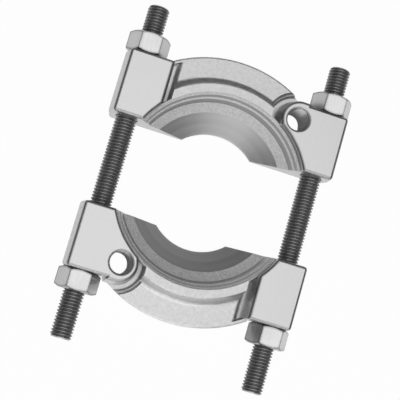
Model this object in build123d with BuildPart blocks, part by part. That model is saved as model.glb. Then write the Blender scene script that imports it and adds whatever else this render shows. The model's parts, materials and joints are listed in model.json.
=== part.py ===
from build123d import *
import os
from math import radians, sqrt, tan

# Bearing separator: two forged jaws that are drawn together by two studs and four nuts.
# Millimetres, +Z up. The jaws lie on their flat backs at z = 0 and the studs run along Y.
# The origin is on the resting plane, below the middle of the two studs.

# Studs
stud_d = 15.875
stud_length = 250.0
stud_end_chamfer = 1.4
stud_clearance = 0.46
stud_wall = 2.13

# Nuts: heavy hexagons, chamfered at both ends
nut_across_flats = 27.0
nut_height = 15.5
nut_face_d = 25.4
nut_chamfer_angle = 30.0
nut_fit = 0.06
nut_countersink = 0.9

# How far the jaws stand apart, and how far their middle is from the middle of the studs
jaw_gap = 66.4
jaw_shift = 6.2

# Turned inside of a jaw: its axis lies beyond the parting face, towards the other jaw
ring_setback = 28.6
lip_r = 39.4
lip_height = 1.5
cone_width = 15.0
cone_rise = 11.5
band_width = 6.8
band_rise = 2.5
first_riser_width = 2.4
first_riser_height = 5.0
second_riser_width = 1.7
second_riser_height = 3.65
tread_width = 0.7
tread_rise = 0.25
wall_taper = 0.4

# Forged outside of a jaw: the rib, and the flange around it
rib_width = 6.5
rib_above_treads = 1.6
rib_chamfer = 1.0
rib_foot_width = 3.3
rib_foot_fillet = 4.0
flange_width = 17.8
flange_height = 17.0
flange_edge_r = 1.6
back_chamfer = 1.0

# Blocks at both ends of a jaw, measured at the front face from the stud and the parting face
block_height = 32.0
block_length = 48.6
seat_depth = 0.6
seat_margin = 1.9
block_outside = 12.0
plain_block_inside = 20.3
draft_angle = 7.5
block_edge_r = 2.2
block_corner_r = 2.5

# Hole for a puller leg, and the round lobe of the block that holds it
leg_hole_d = 15.9
leg_hole_inside = 24.5
leg_hole_wall = 4.03
leg_hole_countersink = 1.7
lobe_wall = 5.45
lobe_shift_x = 1.0
lobe_shift_y = 0.5

# Relief grooves between the flange and the blocks
lobe_groove_width = 6.6
block_groove_width = 6.0
groove_depth = 5.0
groove_foot_r = 2.2
groove_brow_r = 2.4
flange_rim = 2.8

# Radii and heights of the turned inside and of the forging round it
cone_r = lip_r + cone_width
cone_height = lip_height + cone_rise
band_r = cone_r + band_width
band_height = cone_height + band_rise
first_step_r = band_r + first_riser_width
first_step_height = band_height + first_riser_height
second_step_r = first_step_r + tread_width + second_riser_width
second_step_height = first_step_height + tread_rise + second_riser_height
wall_foot_r = second_step_r + tread_width + tread_width
wall_foot_height = second_step_height + tread_rise + tread_rise
turned_r = wall_foot_r + wall_taper
rib_height = wall_foot_height + rib_above_treads
rib_r = turned_r + rib_width
rib_foot_r = rib_r + rib_foot_width
flange_r = rib_foot_r + flange_width

# Places of the studs, the blocks and the leg hole
draft = tan(radians(draft_angle))
stud_z = block_height / 2
draft_growth = stud_z * draft
stud_hole_r = stud_d / 2 + stud_clearance
stud_x = sqrt(turned_r**2 - ring_setback**2) + stud_wall + stud_hole_r
face_y = ring_setback
seat_y = face_y + block_length - seat_depth
outer_x = stud_x + block_outside
plain_inner_x = stud_x - plain_block_inside
leg_hole_r = leg_hole_d / 2
leg_hole_x = stud_x - leg_hole_inside
leg_hole_y = sqrt((turned_r + leg_hole_wall + leg_hole_r) ** 2 - leg_hole_x**2)
lobe_r = leg_hole_r + lobe_wall
lobe_x = leg_hole_x + lobe_shift_x
lobe_y = leg_hole_y + lobe_shift_y
lobe_groove_r = lobe_r + lobe_groove_width
block_groove_x = block_groove_width - plain_inner_x
groove_floor = flange_height - groove_depth
flange_wall_r = flange_r - (flange_height - back_chamfer) * draft

# Nut
nut_bore_r = stud_d / 2 + nut_fit
nut_corner_r = nut_across_flats / sqrt(3)
nut_corner_drop = (nut_corner_r - nut_face_d / 2) * tan(radians(nut_chamfer_angle))
plain_seat_x = stud_x - nut_corner_r - seat_margin
lobe_over_seat = max(lobe_r**2 - (seat_y - lobe_y) ** 2, 0)
lobe_seat_x = lobe_x + sqrt(lobe_over_seat)

# The foot and the brow of a groove each take at most this share of its wall
wall_share = 0.48
foot_r = min(groove_foot_r, groove_depth * wall_share)
brow_r = min(groove_brow_r, groove_depth * wall_share)

# The brow round the lobe is an arc that bulges by this share of its radius
bulge_share = 0.21
brow_bulge = brow_r * bulge_share

# The rounded edge of a front face takes at most this share of what stands above the rib
edge_share = 0.85
front_edge_r = min(block_edge_r, (block_height - rib_height) * edge_share)

# Cuts run this far past what they cut
clear = 10.0
tiny = 0.01

os.makedirs("parts", exist_ok=True)

# A jaw is drawn with the turning axis at the origin and its parting face towards -Y.
# The forging between its two blocks: one section, turned about that axis
with BuildPart() as arch:
    with BuildSketch(Plane.XZ) as arch_section:
        with BuildLine():
            Polyline(
                (lip_r - clear, 0),
                (lip_r - clear, rib_height),
                (rib_r - rib_chamfer, rib_height),
                (rib_r, rib_height - rib_chamfer),
                (rib_foot_r, flange_height),
                (flange_r, flange_height),
                (flange_wall_r, back_chamfer),
                (flange_wall_r - back_chamfer, 0),
                close=True,
            )
        make_face()
        foot = arch_section.vertices().sort_by_distance((rib_foot_r, flange_height))[0]
        fillet(foot, radius=rib_foot_fillet)
        rim = arch_section.vertices().sort_by_distance((flange_r, flange_height))[0]
        fillet(rim, radius=flange_edge_r)
    revolve(axis=Axis.Z)
    with BuildSketch():
        with Locations((0, face_y)):
            Rectangle(stud_x + plain_inner_x, flange_r, align=(Align.CENTER, Align.MIN))
    extrude(amount=block_height, mode=Mode.INTERSECT)

    # Groove round the lobe, from the rib out through the flange
    with BuildSketch(Plane.XY.offset(groove_floor)):
        with Locations((lobe_x, lobe_y)):
            Circle(lobe_groove_r)
        Circle(turned_r, mode=Mode.SUBTRACT)
    extrude(amount=block_height, mode=Mode.SUBTRACT)

    # Groove beside the plain block, closed by the flange's rim
    with BuildSketch(Plane.XY.offset(groove_floor)):
        Circle(flange_r - flange_rim)
        Circle(turned_r, mode=Mode.SUBTRACT)
        with Locations((block_groove_x, face_y)):
            Rectangle(stud_x, flange_r, align=(Align.MAX, Align.MIN), mode=Mode.INTERSECT)
    extrude(amount=block_height, mode=Mode.SUBTRACT)

    # Rounded foot of both grooves, and rounded brow of the one beside the plain block
    walls = arch.faces().filter_by(GeomType.CYLINDER)
    lobe_walls = [f for f in walls if abs(f.radius - lobe_groove_r) < tiny]
    lobe_edges = [e for f in lobe_walls for e in f.edges()]
    lobe_feet = [e for e in lobe_edges if e.bounding_box().max.Z < groove_floor + tiny]
    fillet(lobe_feet, radius=foot_r)
    block_feet = arch.edges().filter_by_position(Axis.Z, groove_floor, groove_floor)
    block_feet = [e for e in block_feet if abs(e.bounding_box().max.X - block_groove_x) < tiny]
    fillet(block_feet, radius=foot_r)
    brow_edges = arch.edges().filter_by_position(Axis.Z, flange_height, flange_height)
    brow_edges = [e for e in brow_edges if abs(e.center().X - block_groove_x) < tiny]
    fillet(brow_edges, radius=brow_r)

    # Rounded brow of the groove round the lobe, outside the rib
    with BuildPart(mode=Mode.SUBTRACT):
        with BuildSketch(Plane((lobe_x, lobe_y, flange_height), x_dir=(1, 0, 0), z_dir=(0, -1, 0))):
            with BuildLine():
                Polyline(
                    (lobe_groove_r, -brow_r),
                    (lobe_r, -brow_r),
                    (lobe_r, clear),
                    (lobe_groove_r + brow_r, clear),
                    (lobe_groove_r + brow_r, 0),
                )
                SagittaArc((lobe_groove_r + brow_r, 0), (lobe_groove_r, -brow_r), brow_bulge)
            make_face()
        revolve(axis=Axis((lobe_x, lobe_y, 0), (0, 0, 1)))
        with BuildSketch():
            Circle(rib_foot_r)
        extrude(amount=block_height, mode=Mode.SUBTRACT)

# Plain block: its section is drafted from the plane of the studs to the front and to the back
with BuildPart() as plain_block:
    with BuildSketch(Plane.XZ.offset(-face_y)):
        with BuildLine():
            Polyline(
                (-outer_x, block_height),
                (-outer_x - draft_growth, stud_z),
                (-outer_x, 0),
                (-plain_inner_x + draft_growth, 0),
                (-plain_inner_x + draft_growth, stud_z),
                (-plain_inner_x, block_height),
                close=True,
            )
        make_face()
    extrude(amount=face_y - seat_y)

# Block with the puller-leg hole: a round lobe runs into a straight-sided block
with BuildPart() as holed_block:
    for level, growth in ((0, 0), (stud_z, draft_growth), (block_height, 0)):
        with BuildSketch(Plane.XY.offset(level)):
            with Locations((lobe_x, lobe_y)):
                Circle(lobe_r + growth)
            with BuildLine():
                Polyline(
                    (lobe_x, face_y - clear),
                    (outer_x + growth, face_y - clear),
                    (outer_x + growth, face_y + block_length + growth),
                    (plain_seat_x, face_y + block_length + growth),
                    close=True,
                )
            make_face()
            make_hull()
    loft(ruled=True)

with BuildPart() as jaw:
    add(arch.part)
    add(plain_block.part)
    add(holed_block.part)

    # Parting face
    with BuildSketch():
        with Locations((0, face_y)):
            Rectangle(2 * (outer_x + clear), flange_r, align=(Align.CENTER, Align.MAX))
    extrude(amount=block_height, mode=Mode.SUBTRACT)

    # Turned recess: lip, cone, rough band and two steps up to the wall that trims the blocks
    with BuildSketch(Plane.XZ):
        with BuildLine():
            Polyline(
                (0, -clear),
                (lip_r, -clear),
                (lip_r, lip_height),
                (cone_r, cone_height),
                (band_r, band_height),
                (first_step_r, first_step_height),
                (first_step_r + tread_width, first_step_height + tread_rise),
                (second_step_r, second_step_height),
                (wall_foot_r, wall_foot_height),
                (turned_r, block_height),
                (turned_r, block_height + clear),
                (0, block_height + clear),
                close=True,
            )
        make_face()
    revolve(axis=Axis.Z, mode=Mode.SUBTRACT)

    # Faced seats for the nuts: the one beside the lobe starts where the lobe runs into it
    with BuildSketch():
        with Locations((-plain_seat_x, seat_y)):
            Rectangle(outer_x, flange_r, align=(Align.MAX, Align.MIN))
        with Locations((lobe_seat_x, seat_y)):
            Rectangle(outer_x, flange_r, align=(Align.MIN, Align.MIN))
    extrude(amount=block_height, mode=Mode.SUBTRACT)

    # Rounded outer corners, then the edges of the ground front faces
    corners = [e for e in jaw.edges() if abs(e.center().X) > outer_x and e.bounding_box().size.Z > stud_z / 2]
    fillet(corners, radius=block_corner_r)
    front_edges = jaw.edges().filter_by_position(Axis.Z, block_height, block_height)
    fillet(front_edges, radius=front_edge_r)

    # Clearance holes for the studs
    with Locations(Plane((0, seat_y, stud_z), x_dir=(1, 0, 0), z_dir=(0, 1, 0))):
        with Locations((-stud_x, 0), (stud_x, 0)):
            Hole(stud_hole_r)

    # Hole for a puller leg, countersunk at both ends
    leg_hole_ends = (
        Location((leg_hole_x, leg_hole_y, block_height)),
        Location((leg_hole_x, leg_hole_y, 0), (180, 0, 0)),
    )
    with Locations(leg_hole_ends):
        CounterSinkHole(leg_hole_r, leg_hole_r + leg_hole_countersink, counter_sink_angle=90)

# The two jaws are one forging: the rear one as drawn, the front one turned half a turn
with BuildPart() as rear_jaw:
    with Locations((0, jaw_shift + jaw_gap / 2 - face_y, 0)):
        add(jaw.part)
rear_jaw.part.label = "rear_jaw"
export_step(rear_jaw.part, "parts/rear_jaw.step")

with BuildPart() as front_jaw:
    with Locations(Location((0, jaw_shift - jaw_gap / 2 + face_y, 0), (0, 0, 180))):
        add(jaw.part)
front_jaw.part.label = "front_jaw"
export_step(front_jaw.part, "parts/front_jaw.step")

# Stud along +Z, centred on the origin
with BuildPart() as stud:
    Cylinder(stud_d / 2, stud_length)
    chamfer(stud.edges().filter_by(GeomType.CIRCLE), stud_end_chamfer)

# Nut along +Z, with its bearing face on the origin and two flats square to Y
with BuildPart() as nut:
    with BuildSketch():
        RegularPolygon(nut_across_flats / 2, 6, major_radius=False)
    extrude(amount=nut_height)
    with BuildSketch(Plane.XZ):
        with BuildLine():
            Polyline(
                (0, 0),
                (nut_face_d / 2, 0),
                (nut_corner_r, nut_corner_drop),
                (nut_corner_r, nut_height - nut_corner_drop),
                (nut_face_d / 2, nut_height),
                (0, nut_height),
                close=True,
            )
        make_face()
    revolve(axis=Axis.Z, mode=Mode.INTERSECT)
    with Locations((0, 0, nut_height), Location((0, 0, 0), (180, 0, 0))):
        CounterSinkHole(nut_bore_r, nut_bore_r + nut_countersink, counter_sink_angle=90)

# Studs and nuts in their places
ends = (("rear", 1), ("front", -1))
for side, x in (("left", -stud_x), ("right", stud_x)):
    with BuildPart() as placed_stud:
        with Locations(Plane((x, 0, stud_z), x_dir=(1, 0, 0), z_dir=(0, 1, 0))):
            add(stud.part)
    placed_stud.part.label = f"{side}_stud"
    export_step(placed_stud.part, f"parts/{side}_stud.step")
    for end, way in ends:
        y = jaw_shift + way * (jaw_gap / 2 + seat_y - face_y)
        with BuildPart() as placed_nut:
            with Locations(Plane((x, y, stud_z), x_dir=(1, 0, 0), z_dir=(0, way, 0))):
                add(nut.part)
        placed_nut.part.label = f"{end}_{side}_nut"
        export_step(placed_nut.part, f"parts/{end}_{side}_nut.step")
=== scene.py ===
import json
from math import hypot, pi, radians

import bmesh
import bpy
from mathutils import Matrix, Vector


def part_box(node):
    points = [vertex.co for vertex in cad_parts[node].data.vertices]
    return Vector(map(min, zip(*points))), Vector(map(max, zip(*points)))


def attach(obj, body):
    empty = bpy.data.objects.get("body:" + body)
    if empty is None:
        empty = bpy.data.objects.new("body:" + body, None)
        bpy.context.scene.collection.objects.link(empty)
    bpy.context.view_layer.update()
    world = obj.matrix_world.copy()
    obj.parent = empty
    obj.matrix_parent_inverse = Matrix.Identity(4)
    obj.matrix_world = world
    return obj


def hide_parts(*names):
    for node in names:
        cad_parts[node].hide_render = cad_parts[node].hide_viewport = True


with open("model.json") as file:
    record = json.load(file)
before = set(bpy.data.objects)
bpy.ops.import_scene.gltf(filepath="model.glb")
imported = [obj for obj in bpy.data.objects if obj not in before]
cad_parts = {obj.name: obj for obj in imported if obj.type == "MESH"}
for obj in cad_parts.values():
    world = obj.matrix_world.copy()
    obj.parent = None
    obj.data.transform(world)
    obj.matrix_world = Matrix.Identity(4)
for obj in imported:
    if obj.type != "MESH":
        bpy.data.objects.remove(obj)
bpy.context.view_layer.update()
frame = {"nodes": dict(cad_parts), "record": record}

mm = 0.001


# Node helpers

def addNode(tree, kind, settings=None, **sockets):
    node = tree.nodes.new(kind)
    for name, value in (settings or {}).items():
        setattr(node, name, value)
    for name, value in sockets.items():
        feed(tree, node.inputs[name.replace("_", " ")], value)
    return node


def feed(tree, socket, value):
    if isinstance(value, bpy.types.NodeSocket):
        tree.links.new(value, socket)
    else:
        socket.default_value = value


def maths(tree, operation, *values, clamp=False):
    node = addNode(tree, "ShaderNodeMath", {"operation": operation, "use_clamp": clamp})
    for socket, value in zip(node.inputs, values):
        feed(tree, socket, value)
    return node.outputs[0]


def vectorMaths(tree, operation, *values):
    node = addNode(tree, "ShaderNodeVectorMath", {"operation": operation})
    for socket, value in zip(node.inputs, values):
        feed(tree, socket, value)
    return node.outputs["Value" if operation in ("LENGTH", "DOT_PRODUCT") else "Vector"]


def mixColours(tree, factor, first, second):
    node = addNode(tree, "ShaderNodeMix", {"data_type": "RGBA"})
    colourSockets = {0: factor, 6: first, 7: second}     # the others are for numbers and vectors
    for index, value in colourSockets.items():
        feed(tree, node.inputs[index], value)
    return node.outputs[2]


def newGroup(name, inputs, outputs):
    tree = bpy.data.node_groups.new(name, "ShaderNodeTree")
    for label, value in inputs.items():
        kind = "NodeSocketVector" if isinstance(value, tuple) else "NodeSocketFloat"
        socket = tree.interface.new_socket(label, in_out="INPUT", socket_type=kind)
        socket.default_value = value
    for label in outputs:
        tree.interface.new_socket(label, in_out="OUTPUT", socket_type="NodeSocketFloat")
    return tree, tree.nodes.new("NodeGroupInput").outputs, tree.nodes.new("NodeGroupOutput").inputs


def useGroup(tree, group, sockets):
    node = tree.nodes.new("ShaderNodeGroup")
    node.node_tree = group
    for name, value in sockets.items():
        node.inputs[name].default_value = value
    return node.outputs


def objectPlace(tree):
    return addNode(tree, "ShaderNodeTexCoord").outputs["Object"]


# Grain of a blasted or forged skin: broad lumps under a fine grain
def makeGrainGroup():
    tree, entry, leave = newGroup("skinGrain", {"Lumps": 120.0, "Grain": 900.0, "LumpShare": 0.5},
                                  ("Shade", "Height"))
    place = objectPlace(tree)
    lumps = addNode(tree, "ShaderNodeTexNoise", Vector=place, Scale=entry["Lumps"],
                    Detail=3.0, Roughness=0.55).outputs["Fac"]
    grain = addNode(tree, "ShaderNodeTexNoise", Vector=place, Scale=entry["Grain"],
                    Detail=3.0, Roughness=0.6).outputs["Fac"]
    grainShare = maths(tree, "SUBTRACT", 1.0, entry["LumpShare"])
    grainPart = maths(tree, "MULTIPLY", grain, grainShare)
    both = maths(tree, "MULTIPLY_ADD", lumps, entry["LumpShare"], grainPart)
    tree.links.new(both, leave["Shade"])
    tree.links.new(both, leave["Height"])
    return tree


# Fine rings left by a lathe, about an upright axis
def makeRingsGroup():
    tree, entry, leave = newGroup("latheRings", {"Axis": (0.0, 0.0, 0.0), "Rings": 1500.0, "Bands": 300.0},
                                  ("Shade", "Height"))
    fromAxis = vectorMaths(tree, "SUBTRACT", objectPlace(tree), entry["Axis"])
    flat = vectorMaths(tree, "MULTIPLY", fromAxis, (1.0, 1.0, 0.0))
    radius = vectorMaths(tree, "LENGTH", flat)
    fine = addNode(tree, "ShaderNodeTexNoise", {"noise_dimensions": "1D"}, W=radius,
                   Scale=entry["Rings"], Detail=2.0, Roughness=0.7).outputs["Fac"]
    bands = addNode(tree, "ShaderNodeTexNoise", {"noise_dimensions": "1D"}, W=radius,
                    Scale=entry["Bands"], Detail=1.0).outputs["Fac"]
    halfBands = maths(tree, "MULTIPLY", bands, 0.5)
    shade = maths(tree, "MULTIPLY_ADD", fine, 0.5, halfBands)
    tree.links.new(shade, leave["Shade"])
    tree.links.new(fine, leave["Height"])
    return tree


# Straight scratches of a ground or brushed face, along one direction of the object, and soft clouds
def makeBrushGroup():
    tree, entry, leave = newGroup("groundLines", {"Stretch": (60.0, 1400.0, 1400.0), "Clouds": 60.0},
                                  ("Shade", "Height"))
    place = objectPlace(tree)
    stretched = vectorMaths(tree, "MULTIPLY", place, entry["Stretch"])
    lines = addNode(tree, "ShaderNodeTexNoise", Vector=stretched, Scale=1.0,
                    Detail=4.0, Roughness=0.7).outputs["Fac"]
    clouds = addNode(tree, "ShaderNodeTexNoise", Vector=place, Scale=entry["Clouds"],
                     Detail=2.0).outputs["Fac"]
    halfClouds = maths(tree, "MULTIPLY", clouds, 0.5)
    shade = maths(tree, "MULTIPLY_ADD", lines, 0.5, halfClouds)
    tree.links.new(shade, leave["Shade"])
    tree.links.new(lines, leave["Height"])
    return tree


# Mask of a piece's edges, found by the turn of a rounded normal, where a highlight or shade is painted
def makeEdgeGroup():
    tree, entry, leave = newGroup("edgePaintedLight", {"Width": 0.0006, "Gain": 3.0}, ("Mask",))
    rounded = addNode(tree, "ShaderNodeBevel", {"samples": 4}, Radius=entry["Width"])
    plain = addNode(tree, "ShaderNodeNewGeometry")
    match = vectorMaths(tree, "DOT_PRODUCT", rounded.outputs["Normal"], plain.outputs["Normal"])
    turned = maths(tree, "SUBTRACT", 1.0, match)
    gained = maths(tree, "MULTIPLY", turned, entry["Gain"], clamp=True)
    tree.links.new(gained, leave["Mask"])
    return tree


grainGroup = makeGrainGroup()
ringsGroup = makeRingsGroup()
brushGroup = makeBrushGroup()
edgeGroup = makeEdgeGroup()


def grey(value):
    return (value, value, value, 1.0)


# A metal whose colour, gloss and relief follow one surface pattern, and whose edges may carry a painted
# highlight or painted shade
def metalMaterial(name, form, patternGroup, place=None):
    material = bpy.data.materials.new(name)
    material.use_nodes = True
    tree = material.node_tree
    shader = tree.nodes["Principled BSDF"].inputs
    surface = useGroup(tree, patternGroup, {**form["pattern"], **(place or {})})
    fromMiddle = maths(tree, "SUBTRACT", surface["Shade"], 0.5)
    spread = maths(tree, "MULTIPLY_ADD", fromMiddle, form["contrast"], 0.5, clamp=True)
    colour = mixColours(tree, spread, grey(form["dark"]), grey(form["light"]))
    shader["Metallic"].default_value = form["metallic"]
    if "edge" in form:
        edge = form["edge"]
        paintedEdgeLight = useGroup(tree, edgeGroup, {"Width": edge["width"], "Gain": edge["gain"]})["Mask"]
        colour = mixColours(tree, paintedEdgeLight, colour, grey(edge["shade"]))
        change = edge["metallic"] - form["metallic"]
        metallic = maths(tree, "MULTIPLY_ADD", paintedEdgeLight, change, form["metallic"])
        tree.links.new(metallic, shader["Metallic"])
    tree.links.new(colour, shader["Base Color"])
    low, high = form["roughness"]
    tree.links.new(maths(tree, "MULTIPLY_ADD", spread, high - low, low), shader["Roughness"])
    bump = addNode(tree, "ShaderNodeBump", Height=surface["Height"], Strength=form["relief"],
                   Distance=form["reliefDepth"])
    tree.links.new(bump.outputs["Normal"], shader["Normal"])
    return material


# Finishes. Shades run from 0, black, to 1, white, and edges mostly carry a painted highlight
forgedForm = {
    "pattern": {"Lumps": 350.0, "Grain": 1400.0, "LumpShare": 0.6},
    "dark": 0.46, "light": 0.70, "contrast": 2.4, "metallic": 0.85,
    "roughness": (0.34, 0.48), "relief": 0.8, "reliefDepth": 0.25 * mm,
    # painted highlight along the edges
    "edge": {"shade": 0.70, "metallic": 0.85, "width": 0.6 * mm, "gain": 1.5},
}
# The rounded rim round the block tops: a darker copy of the forged steel, painted shade standing for the
# dark reflection along it
rimForm = {
    "pattern": {"Lumps": 300.0, "Grain": 1500.0, "LumpShare": 0.5},
    "dark": 0.26, "light": 0.36, "contrast": 1.5, "metallic": 0.90,
    "roughness": (0.28, 0.38), "relief": 0.3, "reliefDepth": 0.15 * mm,
}
groundForm = {
    "pattern": {"Stretch": (1300.0, 70.0, 1300.0)},
    "dark": 0.51, "light": 0.61, "contrast": 1.2, "metallic": 0.80,
    "roughness": (0.30, 0.40), "relief": 0.08, "reliefDepth": 0.05 * mm,
    # painted highlight along the edges
    "edge": {"shade": 0.66, "metallic": 0.80, "width": 0.4 * mm, "gain": 1.5},
}
turnedForm = {
    "pattern": {"Rings": 1500.0, "Bands": 300.0},
    "dark": 0.42, "light": 0.54, "contrast": 1.2, "metallic": 0.90,
    "roughness": (0.42, 0.52), "relief": 0.12, "reliefDepth": 0.06 * mm,
    # painted highlight along the edges
    "edge": {"shade": 0.95, "metallic": 0.60, "width": 0.9 * mm, "gain": 8.0},
}
# Steep turned walls: a darker copy of the turned steel, painted shade, with a painted highlight along
# their edges
stepForm = {
    "pattern": {"Rings": 1500.0, "Bands": 300.0},
    "dark": 0.26, "light": 0.38, "contrast": 1.2, "metallic": 0.90,
    "roughness": (0.30, 0.40), "relief": 0.12, "reliefDepth": 0.06 * mm,
    "edge": {"shade": 1.0, "metallic": 0.10, "width": 1.6 * mm, "gain": 40.0},
}
blastedForm = {
    "pattern": {"Lumps": 700.0, "Grain": 1500.0, "LumpShare": 0.5},
    "dark": 0.42, "light": 0.84, "contrast": 2.6, "metallic": 0.30,
    "roughness": (0.40, 0.55), "relief": 1.0, "reliefDepth": 0.40 * mm,
    # painted highlight along the edges
    "edge": {"shade": 0.95, "metallic": 0.20, "width": 0.9 * mm, "gain": 6.0},
}
boreForm = {
    "pattern": {"Lumps": 200.0, "Grain": 1200.0, "LumpShare": 0.5},
    "dark": 0.26, "light": 0.44, "contrast": 1.5, "metallic": 0.85,
    "roughness": (0.30, 0.42), "relief": 0.2, "reliefDepth": 0.10 * mm,
}
oxideForm = {
    "pattern": {"Lumps": 160.0, "Grain": 1400.0, "LumpShare": 0.5},
    "dark": 0.23, "light": 0.29, "contrast": 1.0, "metallic": 0.60,
    "roughness": (0.34, 0.40), "relief": 0.1, "reliefDepth": 0.05 * mm,
}
zincForm = {
    "pattern": {"Stretch": (900.0, 60.0, 900.0)},
    "dark": 0.42, "light": 0.60, "contrast": 2.0, "metallic": 0.92,
    "roughness": (0.18, 0.28), "relief": 0.12, "reliefDepth": 0.06 * mm,
    # the nuts' edges carry a painted dark reflection
    "edge": {"shade": 0.06, "metallic": 0.50, "width": 2.6 * mm, "gain": 12.0},     # dark edges
}

forgedSteel = metalMaterial("forgedSteel", forgedForm, grainGroup)
rimPaintedShade = metalMaterial("rimPaintedShade", rimForm, grainGroup)
groundSteel = metalMaterial("groundSteel", groundForm, brushGroup)
blastedSteel = metalMaterial("blastedSteel", blastedForm, grainGroup)
boreSteel = metalMaterial("boreSteel", boreForm, grainGroup)
blackOxide = metalMaterial("blackOxide", oxideForm, grainGroup)
zincPlate = metalMaterial("zincPlate", zincForm, brushGroup)
print("materials made")


# Mesh helpers
mergeGap = 0.002 * mm      # corners nearer than this become one
cutGap = 0.0001 * mm       # a corner nearer than this to a cut lies on it


def finishPiece(name, bm, materials, body, replaced=()):
    mesh = bpy.data.meshes.new(name)
    bm.to_mesh(mesh)
    bm.free()
    for material in materials:
        mesh.materials.append(material)
    piece = bpy.data.objects.new(name, mesh)
    bpy.context.scene.collection.objects.link(piece)
    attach(piece, body)
    if replaced:
        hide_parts(*replaced)
    return piece


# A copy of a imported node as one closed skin, with flat faces made whole
def mergedCopy(nodeName, flatAngle):
    bm = bmesh.new()
    bm.from_mesh(frame["nodes"][nodeName].data)
    bmesh.ops.remove_doubles(bm, verts=bm.verts[:], dist=mergeGap)
    bmesh.ops.dissolve_limit(bm, angle_limit=radians(flatAngle), verts=bm.verts[:],
                             edges=bm.edges[:], use_dissolve_boundaries=False)
    bm.normal_update()
    return bm


# Smooth shading, with an edge kept sharp where it turns further than the limit or the finish changes
def shadeMesh(bm, sharpAngle):
    for face in bm.faces:
        face.smooth = True
    for edge in bm.edges:
        if len(edge.link_faces) != 2:
            continue
        first, second = edge.link_faces
        split = first.material_index != second.material_index
        edge.smooth = not (split or edge.calc_face_angle(0.0) > radians(sharpAngle))


def weighNormals(piece):
    modifier = piece.modifiers.new("weighedNormals", "WEIGHTED_NORMAL")
    modifier.keep_sharp = True


# Jaws
jawForm = {
    "sharpAngle": 24.0,
    "flatAngle": 0.6,
    "axisBeyondNose": 28.6 * mm,     # axis of the turned inside
    "turnedRadius": 67.85 * mm,      # how far the turned inside reaches from that axis
    "coneEnd": 13.0 * mm,            # height of the top of the cone
    "bandEnd": 15.5 * mm,            # height of the top of the rough band
    "rimDepth": 2.3 * mm,            # faces of the rounded rim lie within this of the front
    "studHoleReach": 8.6 * mm,       # bore walls lie within this of a stud's axis
    "seatFrom": 50 * mm,             # nut seats lie further out than this
    "near": 0.05 * mm,               # allowance when a corner is looked for on a plane
    # How far a face's normal points along an axis, from 0 to 1
    "square": 0.999,
    "level": 0.99,
    "lobeFront": 0.95,
    "tread": 0.9,
    "upright": 0.1,
    "inwards": 0.02,
}
jawWays = {"rear": 1, "front": -1}     # which way along Y a jaw lies from its nose
jawFinishes = ("forged", "ground", "turned", "step", "blasted", "bore", "rim")     # as makeJaw's materials

# Thread of the puller-leg holes: its crests lie on the bore of the solid, its roots are cut outwards
legThreadForm = {
    "pitch": 1.5 * mm,
    "crestRadius": 7.95 * mm,
    "rootRadius": 8.75 * mm,
    "countersink": 1.7 * mm,
    "crestShare": 0.16,        # of the pitch
    "rootShare": 0.12,         # of the pitch
    "sunk": 0.05 * mm,         # how deep the ridge's foot stands in the wall
    "stepsPerTurn": 48,
}


# Where the parts of a jaw lie in the frame
def jawPlan(end):
    low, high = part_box(f"{end}_jaw")
    nose = low.y if end == "rear" else high.y
    mounts = {m["name"]: m for m in frame["record"]["mounts"]}
    studBoxes = [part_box(f"{side}_stud") for side in ("left", "right")]
    return {
        "back": low.z,
        "top": high.z,
        "nose": nose,
        "axisY": nose - jawWays[end] * jawForm["axisBeyondNose"],
        "hole": Vector(mounts[f"{end}_leg_hole"]["pos_m"]),
        "studs": [(lowEnd + highEnd) / 2 for lowEnd, highEnd in studBoxes],
    }


# The finish of a face, from where it lies and which way it looks
def jawFinish(face, plan):
    near = jawForm["near"]
    square = jawForm["square"]
    upright = jawForm["upright"]
    axisY = plan["axisY"]
    hole = plan["hole"]
    centre = face.calc_center_median()
    normal = face.normal
    heights = [v.co.z for v in face.verts]
    fromHole = hypot(centre.x - hole.x, centre.y - hole.y)
    holeReach = legThreadForm["crestRadius"] + legThreadForm["countersink"]
    if fromHole < holeReach and normal.z < jawForm["lobeFront"]:
        return "bore" if abs(normal.z) < upright else "blasted"
    fromStuds = [hypot(centre.x - stud.x, centre.z - stud.z) for stud in plan["studs"]]
    if min(fromStuds) < jawForm["studHoleReach"] and abs(normal.y) < upright:
        return "bore"
    if normal.z > square and min(heights) > plan["top"] - near:
        return "ground"
    if all(abs(v.co.y - plan["nose"]) < near for v in face.verts):
        return "ground"
    if abs(normal.y) > square and abs(centre.x) > jawForm["seatFrom"]:
        return "ground"
    toAxis = Vector((-centre.x, axisY - centre.y, 0)).normalized()
    facesIn = normal.dot(toAxis) > jawForm["inwards"] or normal.z > jawForm["level"]
    reach = max(hypot(v.co.x, v.co.y - axisY) for v in face.verts)
    if reach < jawForm["turnedRadius"] and facesIn and centre.z > near:
        if max(heights) <= jawForm["coneEnd"] + near:
            return "turned"
        # Steep turned walls take the darker step material: painted shade
        step = max(heights) > jawForm["bandEnd"] + near
        return "step" if step and normal.z <= jawForm["tread"] else "blasted"
    # The rounded rim takes the darker rim material: painted shade for a dark reflection
    return "rim" if min(heights) > plan["top"] - jawForm["rimDepth"] else "forged"


# The bore wall moves out to the roots of the thread, along its countersinks
def openBore(bm, plan):
    form = legThreadForm
    hole = plan["hole"]
    out = form["rootRadius"] - form["crestRadius"]
    middle = (plan["back"] + plan["top"]) / 2
    for vert in bm.verts:
        fromAxis = Vector((vert.co.x - hole.x, vert.co.y - hole.y, 0))
        if abs(fromAxis.length - form["crestRadius"]) > jawForm["near"]:
            continue
        vert.co += fromAxis.normalized() * out
        vert.co.z += out if vert.co.z > middle else -out
    bm.normal_update()


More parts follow.
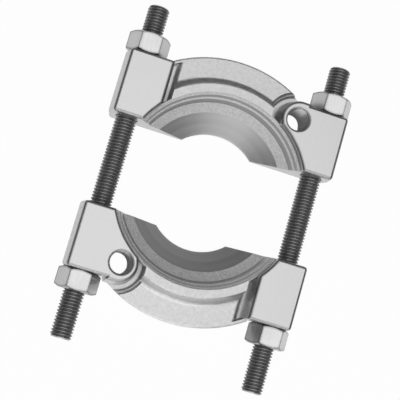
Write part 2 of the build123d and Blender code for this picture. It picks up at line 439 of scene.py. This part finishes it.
def makeJaw(end, plan):
    bm = mergedCopy(f"{end}_jaw", jawForm["flatAngle"])
    openBore(bm, plan)
    for face in bm.faces:
        face.material_index = jawFinishes.index(jawFinish(face, plan))
    shadeMesh(bm, jawForm["sharpAngle"])
    axis = {"Axis": (0.0, plan["axisY"], 0.0)}
    turnedSteel = metalMaterial(f"turnedSteel_{end}", turnedForm, ringsGroup, axis)
    stepPaintedLight = metalMaterial(f"stepPaintedLight_{end}", stepForm, ringsGroup, axis)
    materials = (forgedSteel, groundSteel, turnedSteel, stepPaintedLight, blastedSteel, boreSteel, rimPaintedShade)
    node = f"{end}_jaw"
    weighNormals(finishPiece(f"{node}_forging", bm, materials, node, (node,)))


# The thread of a puller-leg hole: one closed ridge that winds down the wall
def makeLegThread(end, plan):
    form = legThreadForm
    hole = plan["hole"]
    pitch = form["pitch"]
    depth = form["rootRadius"] - form["crestRadius"]
    length = plan["top"] - plan["back"] - 2 * (form["countersink"] - depth) - pitch
    turns = int(length / pitch)
    half = (1 - form["rootShare"]) / 2 * pitch
    tip = form["crestShare"] / 2 * pitch
    wall = form["rootRadius"] + form["sunk"]
    outline = ((wall, -half), (form["crestRadius"], -tip), (form["crestRadius"], tip), (wall, half))
    bm = bmesh.new()
    face = bm.faces.new([bm.verts.new((r, 0, z)) for r, z in outline])
    steps = turns * form["stepsPerTurn"]
    bmesh.ops.spin(bm, geom=[face], cent=(0, 0, 0), axis=(0, 0, 1), dvec=(0, 0, turns * pitch / steps),
                   angle=2 * pi * turns, steps=steps, use_merge=False, use_normal_flip=False,
                   use_duplicate=False)
    bmesh.ops.recalc_face_normals(bm, faces=bm.faces[:])
    start = (plan["top"] + plan["back"] - turns * pitch) / 2
    bmesh.ops.translate(bm, verts=bm.verts[:], vec=(hole.x, hole.y, start))
    shadeMesh(bm, jawForm["sharpAngle"])
    finishPiece(f"{end}_leg_thread", bm, (boreSteel,), f"{end}_jaw")


# Studs
studForm = {
    "diameter": 15.875 * mm,
    "pitch": 25.4 / 11 * mm,
    "stepsPerTurn": 36,
    "spareTurns": 1,           # beyond each end, before it is cut off
    "sharpAngle": 45.0,
    # Shares of the pitch
    "depthShare": 0.6134,
    "crestShare": 0.24,
    "crestRound": 0.02,
    "rootShare": 0.05,
    "seamShare": 0.002,        # corners nearer than this become one
    "plainMargin": 0.01,
    # Ends, with shares of the chamfer for the loops cut into it and for the bare tip
    "endChamfer": 1.4 * mm,
    "chamferCuts": (0.35, 0.7, 1.0),
    "plainShare": 0.7,
}


# One turn of a thread, repeated end to end along Z
def threadSkin(outline, pitch, turns, steps):
    bm = bmesh.new()
    verts = [bm.verts.new((r, 0, z)) for r, z in outline]
    edges = [bm.edges.new(pair) for pair in zip(verts, verts[1:])]
    bmesh.ops.spin(bm, geom=verts + edges, cent=(0, 0, 0), axis=(0, 0, 1), dvec=(0, 0, pitch / steps),
                   angle=2 * pi, steps=steps, use_merge=False, use_normal_flip=False, use_duplicate=False)
    made = 1
    while made < turns:
        copy = bmesh.ops.duplicate(bm, geom=bm.verts[:] + bm.edges[:] + bm.faces[:])["geom"]
        moved = [v for v in copy if isinstance(v, bmesh.types.BMVert)]
        bmesh.ops.translate(bm, verts=moved, vec=(0, 0, made * pitch))
        made *= 2
    bmesh.ops.remove_doubles(bm, verts=bm.verts[:], dist=pitch * studForm["seamShare"])
    return bm


def cutAcross(bm, z, outwards, clear):
    return bmesh.ops.bisect_plane(bm, geom=bm.verts[:] + bm.edges[:] + bm.faces[:], dist=cutGap,
                                  plane_co=(0, 0, z), plane_no=(0, 0, outwards), clear_outer=clear)


# One pitch of the thread: root, flank, rounded crest, flank
def threadOutline():
    pitch = studForm["pitch"]
    crest = studForm["diameter"] / 2
    root = crest - studForm["depthShare"] * pitch
    rootEnd = studForm["rootShare"] * pitch
    halfCrest = studForm["crestShare"] * pitch / 2
    shoulder = crest - studForm["crestRound"] * pitch
    middle = (rootEnd + pitch) / 2
    return ((root, 0), (root, rootEnd), (shoulder, middle - halfCrest), (crest, middle),
            (shoulder, middle + halfCrest), (root, pitch))


# Both ends are cut off and closed, and their edges slope in to a plain, bare tip
def finishEnds(bm, length):
    half = length / 2
    chamfer = studForm["endChamfer"]
    for way in (-1, 1):
        cut = cutAcross(bm, way * half, way, True)
        rim = [part for part in cut["geom_cut"] if isinstance(part, bmesh.types.BMEdge)]
        bmesh.ops.contextual_create(bm, geom=rim)
        for share in studForm["chamferCuts"]:
            cutAcross(bm, way * (half - share * chamfer), way, False)
    plain = studForm["plainShare"] * chamfer + studForm["plainMargin"] * studForm["pitch"]
    for vert in bm.verts:
        fromEnd = half - abs(vert.co.z)
        limit = studForm["diameter"] / 2 - chamfer + fromEnd
        radius = hypot(vert.co.x, vert.co.y)
        if radius > 0 and fromEnd < chamfer and (radius > limit or fromEnd < plain):
            vert.co.x *= limit / radius
            vert.co.y *= limit / radius
    for face in bm.faces:
        face.material_index = int(all(half - abs(v.co.z) < plain for v in face.verts))


def makeStud(side):
    low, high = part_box(f"{side}_stud")
    length = high.y - low.y
    pitch = studForm["pitch"]
    spare = studForm["spareTurns"]
    turns = int(length / pitch) + 2 * spare + 1
    bm = threadSkin(threadOutline(), pitch, turns, studForm["stepsPerTurn"])
    bmesh.ops.translate(bm, verts=bm.verts[:], vec=(0, 0, -spare * pitch - length / 2))
    finishEnds(bm, length)
    bmesh.ops.recalc_face_normals(bm, faces=bm.faces[:])
    place = Matrix.Translation((low + high) / 2) @ Matrix.Rotation(radians(-90), 4, "X")
    bmesh.ops.transform(bm, matrix=place, verts=bm.verts[:])
    bm.normal_update()
    shadeMesh(bm, studForm["sharpAngle"])
    materials = (blackOxide, boreSteel)     # the second one is for the bare tips
    finishPiece(f"{side}_stud_threaded", bm, materials, "studs", (f"{side}_stud",))


# Nuts
nutForm = {
    "sharpAngle": 20.0,
    "flatAngle": 0.6,
}


def makeNut(nodeName):
    bm = mergedCopy(nodeName, nutForm["flatAngle"])
    shadeMesh(bm, nutForm["sharpAngle"])
    weighNormals(finishPiece(f"{nodeName}_plated", bm, (zincPlate,), nodeName, (nodeName,)))


for end in jawWays:
    plan = jawPlan(end)
    makeJaw(end, plan)
    makeLegThread(end, plan)
print("jaws made")
for side in ("left", "right"):
    makeStud(side)
print("studs made")
for end in jawWays:
    for side in ("left", "right"):
        makeNut(f"{end}_{side}_nut")
print("nuts made")


# Studio
studio = {
    "floorSize": 6.0,
    "floorDrop": 0.1 * mm,
    "floorGrey": 0.9,
    "floorWhite": 0.97,
    "skyStops": ((0.0, 0.04), (0.50, 0.06), (0.80, 0.20), (0.94, 0.92)),     # height, then shade
    "backShare": 0.85,
    "skyStrength": 0.6,
}
lamps = {
    "keySoftbox": {"place": (0.15, -1.10, 1.10), "size": (1.5, 1.0), "watts": 9.0},
    "topSoftbox": {"place": (0.10, 0.25, 1.60), "size": (1.6, 1.4), "watts": 5.0},
    "lowSoftbox": {"place": (0.05, -1.30, 0.12), "size": (0.8, 0.25), "watts": 2.5},
}


# Floor that shows white, and still takes the object's shadow
def makeFloor():
    bm = bmesh.new()
    bmesh.ops.create_grid(bm, x_segments=1, y_segments=1, size=studio["floorSize"] / 2)
    bmesh.ops.translate(bm, verts=bm.verts[:], vec=(0, 0, -studio["floorDrop"]))
    mesh = bpy.data.meshes.new("floor")
    bm.to_mesh(mesh)
    bm.free()
    floor = bpy.data.objects.new("floor", mesh)
    bpy.context.scene.collection.objects.link(floor)
    material = bpy.data.materials.new("paleFloor")
    material.use_nodes = True
    tree = material.node_tree
    matt = addNode(tree, "ShaderNodeBsdfDiffuse", Color=grey(studio["floorGrey"]))
    glow = addNode(tree, "ShaderNodeEmission", Color=grey(1.0), Strength=1.0)
    rays = addNode(tree, "ShaderNodeLightPath").outputs
    seen = maths(tree, "MAXIMUM", rays["Is Camera Ray"], rays["Is Glossy Ray"])
    seen = maths(tree, "MAXIMUM", seen, rays["Is Transmission Ray"])
    share = maths(tree, "MULTIPLY", seen, studio["floorWhite"])
    mix = addNode(tree, "ShaderNodeMixShader", Fac=share)
    tree.links.new(matt.outputs[0], mix.inputs[1])
    tree.links.new(glow.outputs[0], mix.inputs[2])
    tree.links.new(mix.outputs[0], tree.nodes["Material Output"].inputs["Surface"])
    mesh.materials.append(material)


# White to the camera. The metal sees it too, but darker towards the horizon and the back
def makeWorld():
    world = bpy.data.worlds.new("studioWorld")
    bpy.context.scene.world = world
    world.use_nodes = True
    tree = world.node_tree
    way = addNode(tree, "ShaderNodeTexCoord").outputs["Generated"]
    parts = addNode(tree, "ShaderNodeSeparateXYZ", Vector=way).outputs
    rampNode = addNode(tree, "ShaderNodeValToRGB", Fac=parts["Z"])
    elements = rampNode.color_ramp.elements
    stops = studio["skyStops"]
    while len(elements) < len(stops):
        elements.new(1.0)
    for element, (height, skyShade) in zip(elements, stops):
        element.position = height
        element.color = grey(skyShade)
    front = addNode(tree, "ShaderNodeMapRange", Value=parts["Y"], From_Min=-1.0, From_Max=1.0,
                    To_Min=1.0, To_Max=studio["backShare"])
    shade = maths(tree, "MULTIPLY", rampNode.outputs["Color"], front.outputs[0])
    sky = tree.nodes["Background"]
    sky.inputs["Strength"].default_value = studio["skyStrength"]
    tree.links.new(shade, sky.inputs["Color"])
    white = addNode(tree, "ShaderNodeBackground", Color=grey(1.0), Strength=1.0)
    rays = addNode(tree, "ShaderNodeLightPath").outputs
    mirrored = maths(tree, "MULTIPLY", rays["Is Glossy Ray"], shade)
    seen = maths(tree, "MAXIMUM", rays["Is Camera Ray"], rays["Is Transmission Ray"])
    mix = addNode(tree, "ShaderNodeMixShader", Fac=maths(tree, "MAXIMUM", seen, mirrored))
    tree.links.new(sky.outputs[0], mix.inputs[1])
    tree.links.new(white.outputs[0], mix.inputs[2])
    tree.links.new(mix.outputs[0], tree.nodes["World Output"].inputs["Surface"])


def makeLamp(name, form):
    light = bpy.data.lights.new(name, "AREA")
    light.shape = "RECTANGLE"
    light.size, light.size_y = form["size"]
    light.energy = form["watts"]
    lamp = bpy.data.objects.new(name, light)
    lamp.location = form["place"]
    lamp.rotation_euler = (-Vector(form["place"])).to_track_quat("-Z", "Y").to_euler()
    bpy.context.scene.collection.objects.link(lamp)


# The camera stands where the photo was taken from: above the object, a little in front and to the left
cameraView = {
    "place": (-0.13724, -0.11087, 0.82283),
    "alongView": (0.16213, 0.13257, -0.97783),
    "up": (-0.29581, 0.95189, 0.08000),
    "lens": 101.9,
    "sensor": 36.0,
}


def makeCamera():
    data = bpy.data.cameras.new("camera")
    data.lens = cameraView["lens"]
    data.sensor_width = cameraView["sensor"]
    camera = bpy.data.objects.new("camera", data)
    along = Vector(cameraView["alongView"]).normalized()
    right = along.cross(Vector(cameraView["up"])).normalized()
    up = right.cross(along)
    turn = Matrix((right, up, -along)).transposed().to_4x4()
    camera.matrix_world = Matrix.Translation(cameraView["place"]) @ turn
    bpy.context.scene.collection.objects.link(camera)
    bpy.context.scene.camera = camera


makeFloor()
makeWorld()
for name, form in lamps.items():
    makeLamp(name, form)
makeCamera()
bpy.context.scene.view_settings.view_transform = "Standard"
print("studio made")
